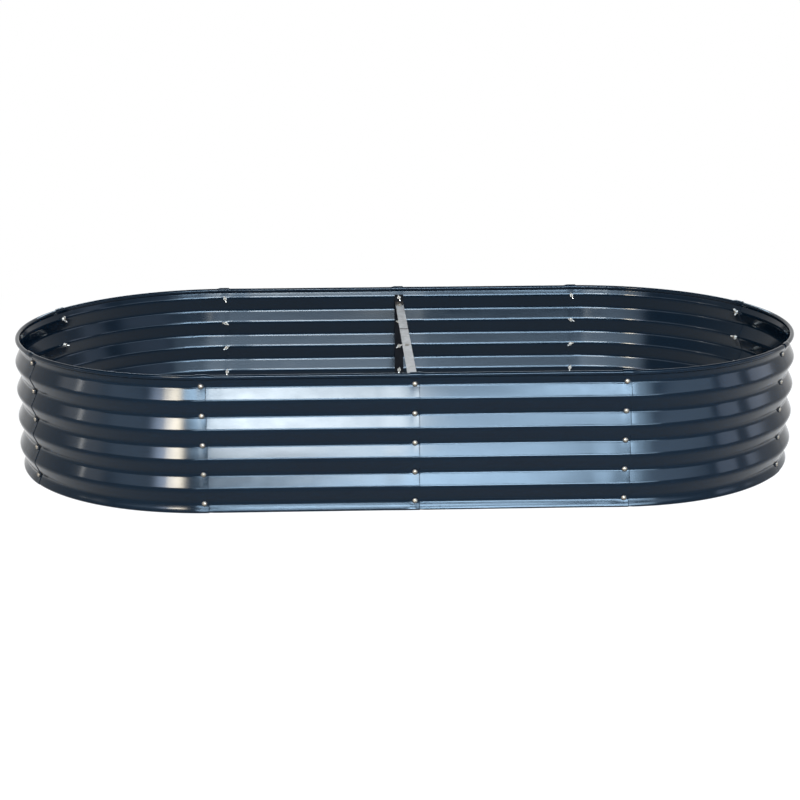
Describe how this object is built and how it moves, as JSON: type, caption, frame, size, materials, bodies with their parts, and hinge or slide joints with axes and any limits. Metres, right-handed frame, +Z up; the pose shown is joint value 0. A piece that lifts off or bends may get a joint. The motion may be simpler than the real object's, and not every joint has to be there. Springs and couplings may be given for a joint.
{
  "type": "raised garden bed",
  "caption": "Oval raised garden bed: an open ring of bolted corrugated steel panels with a rolled rim, braced across the middle by a flat bar between two uprights.",
  "frame": {"origin": "on the ground, under the middle of the bed", "axes": "+X along the bed's length, +Y towards the rear long side, +Z up"},
  "size_m": [1.7808, 0.9, 0.3005],
  "materials": {
    "panel_paint": "gloss",
    "upright_paint": "satin",
    "seal_rubber": "matte",
    "galvanised_brace": "satin",
    "zinc_fasteners": "bright"
  },
  "bodies": {
    "root": {"bolts_front_left": "zinc_fasteners", "bolts_front_middle": "zinc_fasteners", "bolts_front_right": "zinc_fasteners", "bolts_left_front": "zinc_fasteners", "bolts_left_rear": "zinc_fasteners", "bolts_rear_left": "zinc_fasteners", "bolts_rear_middle": "zinc_fasteners", "bolts_rear_right": "zinc_fasteners", "bolts_right_front": "zinc_fasteners", "bolts_right_rear": "zinc_fasteners", "brace_bar_front": "galvanised_brace", "brace_bar_rear": "galvanised_brace", "brace_bolts": "zinc_fasteners", "brace_wing_nuts": "zinc_fasteners", "bracket_front": "upright_paint", "bracket_rear": "upright_paint", "panel_front_left": "panel_paint", "panel_front_right": "panel_paint", "panel_left_end": "panel_paint", "panel_left_front": "panel_paint", "panel_left_rear": "panel_paint", "panel_rear_left": "panel_paint", "panel_rear_right": "panel_paint", "panel_right_end": "panel_paint", "panel_right_front": "panel_paint", "panel_right_rear": "panel_paint", "seals_front_left": "seal_rubber", "seals_front_middle": "seal_rubber", "seals_front_right": "seal_rubber", "seals_left_front": "seal_rubber", "seals_left_rear": "seal_rubber", "seals_rear_left": "seal_rubber", "seals_rear_middle": "seal_rubber", "seals_rear_right": "seal_rubber", "seals_right_front": "seal_rubber", "seals_right_rear": "seal_rubber", "upright_front": "upright_paint", "upright_rear": "upright_paint", "wing_nuts_front_left": "zinc_fasteners", "wing_nuts_front_middle": "zinc_fasteners", "wing_nuts_front_right": "zinc_fasteners", "wing_nuts_left_front": "zinc_fasteners", "wing_nuts_left_rear": "zinc_fasteners", "wing_nuts_rear_left": "zinc_fasteners", "wing_nuts_rear_middle": "zinc_fasteners", "wing_nuts_rear_right": "zinc_fasteners", "wing_nuts_right_front": "zinc_fasteners", "wing_nuts_right_rear": "zinc_fasteners"}
  },
  "joints": []
}
